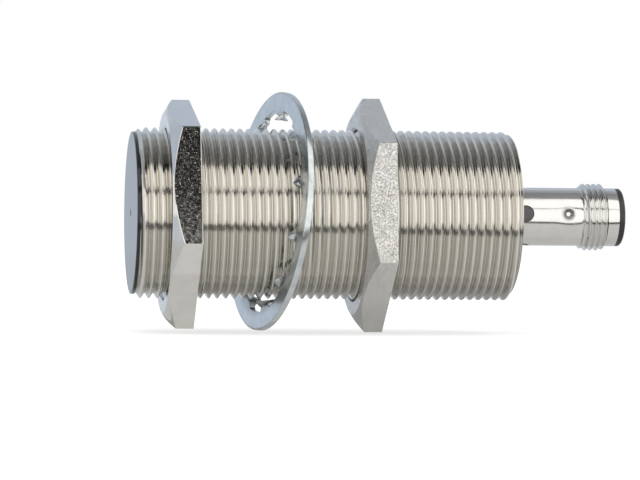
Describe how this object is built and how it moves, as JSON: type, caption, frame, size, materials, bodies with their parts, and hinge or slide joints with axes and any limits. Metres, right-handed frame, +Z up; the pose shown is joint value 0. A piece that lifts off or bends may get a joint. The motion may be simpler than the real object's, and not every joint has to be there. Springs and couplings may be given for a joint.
{
  "type": "inductive proximity sensor",
  "caption": "Flush inductive proximity sensor: threaded metal barrel with a black sensing face, hexagon mounting nuts, a toothed lock washer and a round threaded plug.",
  "frame": {"origin": "centre of the sensing face", "axes": "+X along the barrel from the sensing face to the plug, +Z up, -Y towards the viewer of the picture"},
  "size_m": [0.0873, 0.0414, 0.042],
  "materials": {
    "nickel_brass": "nickel-plated, turned, bright",
    "nickel_nut": "nickel-plated, fine pebbled flats, smooth faces",
    "zinc_steel": "zinc-plated, bluish, bright",
    "black_face": "moulded, smooth",
    "black_insert": "moulded, satin",
    "seal_rubber": "matt",
    "plain_brass": "plain, turned",
    "ferrite": "sintered, ground",
    "spool_plastic": "moulded",
    "copper": "enamelled copper wire",
    "lead_cover": "insulated wire",
    "board_laminate": "solder mask",
    "chip_mould": "moulded",
    "tantalum_case": "moulded",
    "ceramic_chip": "fired ceramic",
    "led_case": "clear cast",
    "resin": "cast",
    "smoked_guide": "smoked, translucent",
    "gold_contact": "gold-plated"
  },
  "bodies": {
    "sensor": {"housing_barrel": "nickel_brass", "sensing_cap": "black_face", "connector_shell": "nickel_brass", "contact_carrier": "black_insert", "contact_pin_1": "gold_contact", "contact_pin_2": "gold_contact", "contact_pin_3": "gold_contact", "contact_pin_4": "gold_contact", "cap_seal_ring": "seal_rubber", "shield_ring": "plain_brass", "pot_core": "ferrite", "coil_bobbin": "spool_plastic", "coil_winding": "copper", "core_holder": "spool_plastic", "circuit_board": "board_laminate", "oscillator_chip": "chip_mould", "output_transistor": "chip_mould", "tantalum_capacitor": "tantalum_case", "ceramic_capacitors": "ceramic_chip", "chip_resistors": "chip_mould", "status_leds": "led_case", "coil_leads": "copper", "pin_leads": "lead_cover", "potting_resin": "resin", "shell_seal_ring": "seal_rubber", "carrier_seal_ring": "seal_rubber", "light_guide": "smoked_guide"},
    "nut_front": {"nut_front": "nickel_nut"},
    "nut_rear": {"nut_rear": "nickel_nut"},
    "lock_washer": {"lock_washer": "zinc_steel"}
  },
  "joints": [
    {"name": "nut_front_turn", "type": "hinge", "parent": "sensor", "child": "nut_front", "pos_m": [0.00816, 0, 0], "axis": [1, 0, 0], "continuous": true},
    {"name": "nut_rear_turn", "type": "hinge", "parent": "sensor", "child": "nut_rear", "pos_m": [0.04173, 0, 0], "axis": [1, 0, 0], "continuous": true},
    {"name": "washer_slide", "type": "slide", "parent": "sensor", "child": "lock_washer", "axis": [1, 0, 0], "range_m": [-0.0084, 0.0094]}
  ]
}
